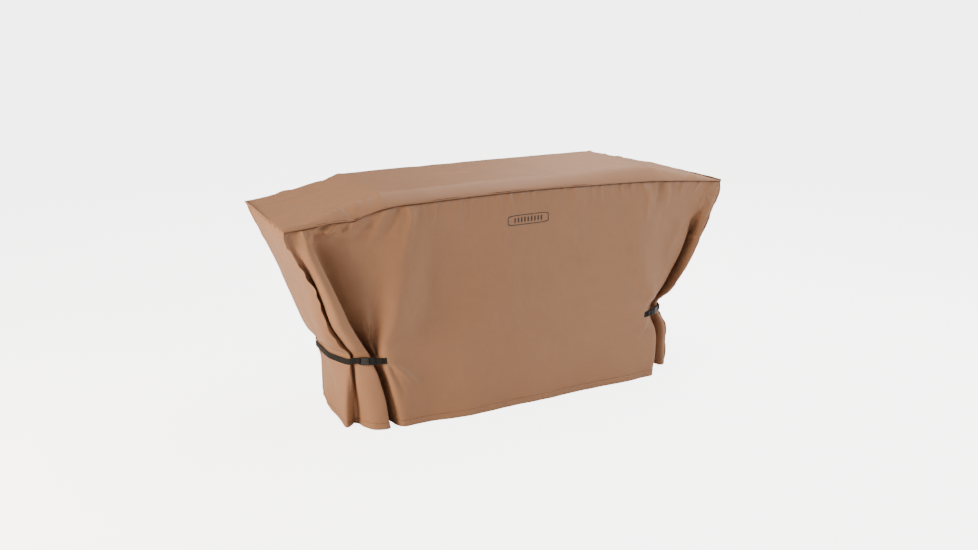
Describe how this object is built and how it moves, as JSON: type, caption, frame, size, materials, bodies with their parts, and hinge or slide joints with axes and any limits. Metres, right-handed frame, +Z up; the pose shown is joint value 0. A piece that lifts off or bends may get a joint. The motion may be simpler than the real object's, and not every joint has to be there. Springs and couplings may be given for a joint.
{
  "type": "fitted grill cover",
  "caption": "Long fitted cloth cover for a griddle with side shelves: raised flat top, sloping shelf ends, tapered sides, open hem, and a cinch strap with side-release buckle on each end.",
  "frame": {"origin": "centre of the floor footprint, on the surface the hem rests on", "axes": "+X along the length, towards the right end seen from the front, -Y out of the front, +Z up"},
  "size_m": [1.974, 0.5294, 0.95],
  "materials": {
    "cover_cloth": "satin coated polyester, fine plain weave, soft sheen",
    "hem_cloth": "the same cloth folded double with a sewn line along its top",
    "seam_cloth": "standing seam allowance of the same cloth, stitched near its root",
    "piping": "rounded piping of the same cloth",
    "lining_tape": "dull coated backing tape inside the seams and behind the strap ends",
    "webbing": "black woven webbing with a ribbed face and close edges",
    "thread": "black twisted sewing thread",
    "buckle_plastic": "black moulded plastic, fine matt grain",
    "mark_print": "thin flat dark print"
  },
  "bodies": {
    "cover": {"front_hem": "hem_cloth", "front_left_lower_seam": "seam_cloth", "front_left_patch": "lining_tape", "front_left_stitch": "thread", "front_left_upper_seam": "seam_cloth", "front_mark": "mark_print", "front_panel": "cover_cloth", "front_right_lower_seam": "seam_cloth", "front_right_patch": "lining_tape", "front_right_stitch": "thread", "front_right_upper_seam": "seam_cloth", "front_seam_tape": "lining_tape", "left_buckle_socket": "buckle_plastic", "left_end_panel": "cover_cloth", "left_end_strap": "webbing", "left_front_strap": "webbing", "left_hem": "hem_cloth", "left_piping": "piping", "left_strap_fold": "webbing", "rear_hem": "hem_cloth", "rear_left_lower_seam": "seam_cloth", "rear_left_patch": "lining_tape", "rear_left_stitch": "thread", "rear_left_upper_seam": "seam_cloth", "rear_panel": "cover_cloth", "rear_right_lower_seam": "seam_cloth", "rear_right_patch": "lining_tape", "rear_right_stitch": "thread", "rear_right_upper_seam": "seam_cloth", "rear_seam_tape": "lining_tape", "right_buckle_socket": "buckle_plastic", "right_end_panel": "cover_cloth", "right_end_strap": "webbing", "right_front_strap": "webbing", "right_hem": "hem_cloth", "right_piping": "piping", "right_strap_fold": "webbing", "top_panel": "cover_cloth"},
    "left_clip": {"left_buckle_plug": "buckle_plastic", "left_strap_tail": "webbing"},
    "left_upper_press": {"left_upper_arm": "buckle_plastic"},
    "left_lower_press": {"left_lower_arm": "buckle_plastic"},
    "right_clip": {"right_buckle_plug": "buckle_plastic", "right_strap_tail": "webbing"},
    "right_upper_press": {"right_upper_arm": "buckle_plastic"},
    "right_lower_press": {"right_lower_arm": "buckle_plastic"}
  },
  "joints": [
    {"name": "left_clip_slide", "type": "slide", "parent": "cover", "child": "left_clip", "axis": [0.87, -0.493, 0], "range_m": [0, 0.025]},
    {"name": "left_upper_squeeze", "type": "hinge", "parent": "left_clip", "child": "left_upper_press", "pos_m": [-0.67706, -0.23507, 0.304], "axis": [-0.493, -0.87, 0], "range_deg": [0, 6], "stiffness_Nm_per_rad": 0.02},
    {"name": "left_lower_squeeze", "type": "hinge", "parent": "left_clip", "child": "left_lower_press", "pos_m": [-0.67706, -0.23507, 0.286], "axis": [-0.493, -0.87, 0], "range_deg": [-6, 0], "stiffness_Nm_per_rad": 0.02},
    {"name": "right_clip_slide", "type": "slide", "parent": "cover", "child": "right_clip", "axis": [-0.87, -0.493, 0], "range_m": [0, 0.025]},
    {"name": "right_lower_squeeze", "type": "hinge", "parent": "right_clip", "child": "right_lower_press", "pos_m": [0.67706, -0.23507, 0.286], "axis": [0.493, -0.87, 0], "range_deg": [0, 6], "stiffness_Nm_per_rad": 0.02},
    {"name": "right_upper_squeeze", "type": "hinge", "parent": "right_clip", "child": "right_upper_press", "pos_m": [0.67706, -0.23507, 0.304], "axis": [0.493, -0.87, 0], "range_deg": [-6, 0], "stiffness_Nm_per_rad": 0.02}
  ],
  "couplings": [
    {"joint": "left_lower_squeeze", "follows": "left_upper_squeeze", "ratio": -1},
    {"joint": "right_upper_squeeze", "follows": "right_lower_squeeze", "ratio": -1}
  ]
}
